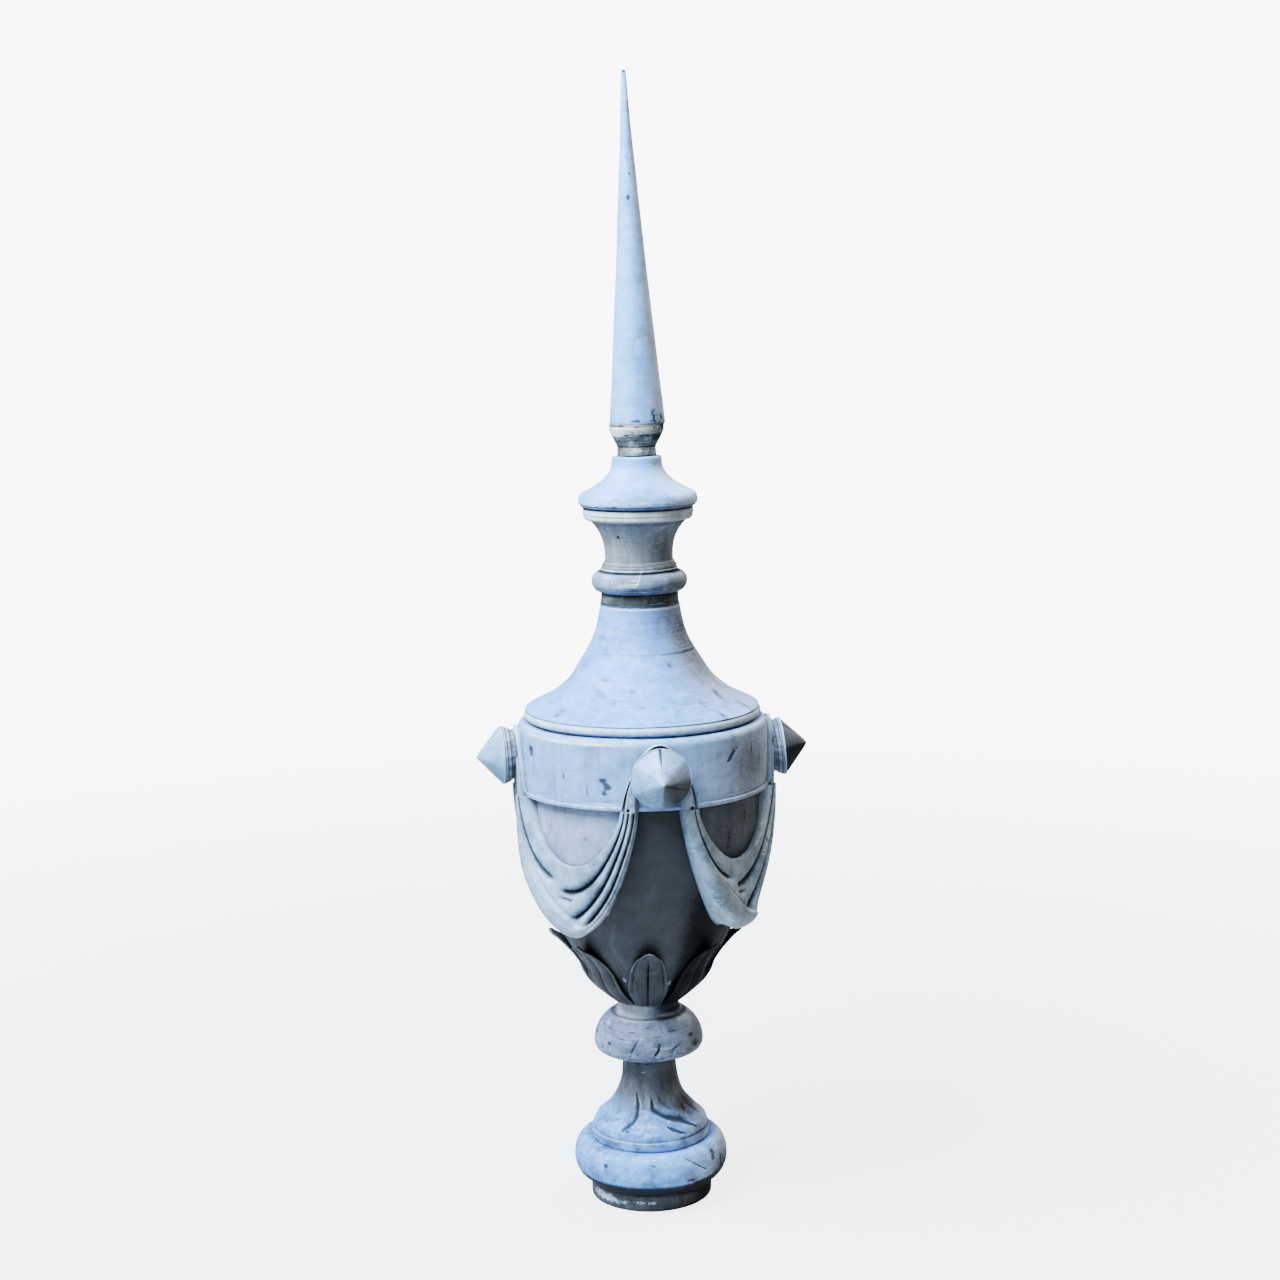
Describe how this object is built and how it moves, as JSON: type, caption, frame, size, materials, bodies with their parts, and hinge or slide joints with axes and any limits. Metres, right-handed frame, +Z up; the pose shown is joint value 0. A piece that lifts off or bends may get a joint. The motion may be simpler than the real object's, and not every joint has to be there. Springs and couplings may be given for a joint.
{
  "type": "zinc roof finial",
  "caption": "Ornamental sheet-zinc roof finial: draped urn with bosses and leaves on a baluster foot, domed cover, vase neck and long tapering spike.",
  "frame": {"origin": "centre of the foot's flat underside", "axes": "+Z up along the finial's axis, one boss faces -Y, another faces +X"},
  "size_m": [0.4473, 0.4476, 1.5],
  "materials": {
    "pale_zinc": "blue-white weathered zinc patina, matt",
    "slate_zinc": "darker slate-grey zinc patina, matt, with worn paler edges",
    "green_zinc": "greenish-grey soldered zinc, rough",
    "brown_zinc": "brown-grey stained zinc, rough"
  },
  "bodies": {
    "root": {"foot_base": "pale_zinc", "foot_bell": "pale_zinc", "knop": "pale_zinc", "bowl": "slate_zinc", "leaf_1": "slate_zinc", "leaf_2": "slate_zinc", "leaf_3": "slate_zinc", "leaf_4": "slate_zinc", "leaf_5": "slate_zinc", "leaf_6": "slate_zinc", "leaf_7": "slate_zinc", "leaf_8": "slate_zinc", "swag_1": "pale_zinc", "swag_2": "pale_zinc", "swag_3": "pale_zinc", "swag_4": "pale_zinc", "band": "pale_zinc", "hook_1": "pale_zinc", "hook_2": "pale_zinc", "hook_3": "pale_zinc", "hook_4": "pale_zinc", "boss_drum_1": "pale_zinc", "boss_drum_2": "pale_zinc", "boss_drum_3": "pale_zinc", "boss_drum_4": "pale_zinc", "boss_cone_1": "green_zinc", "boss_cone_2": "green_zinc", "boss_cone_3": "green_zinc", "boss_cone_4": "green_zinc", "dome": "pale_zinc", "neck_tube": "brown_zinc", "neck_roll": "pale_zinc", "vase_neck": "pale_zinc", "cap": "pale_zinc", "spike_socket": "green_zinc", "spike": "pale_zinc"}
  },
  "joints": []
}
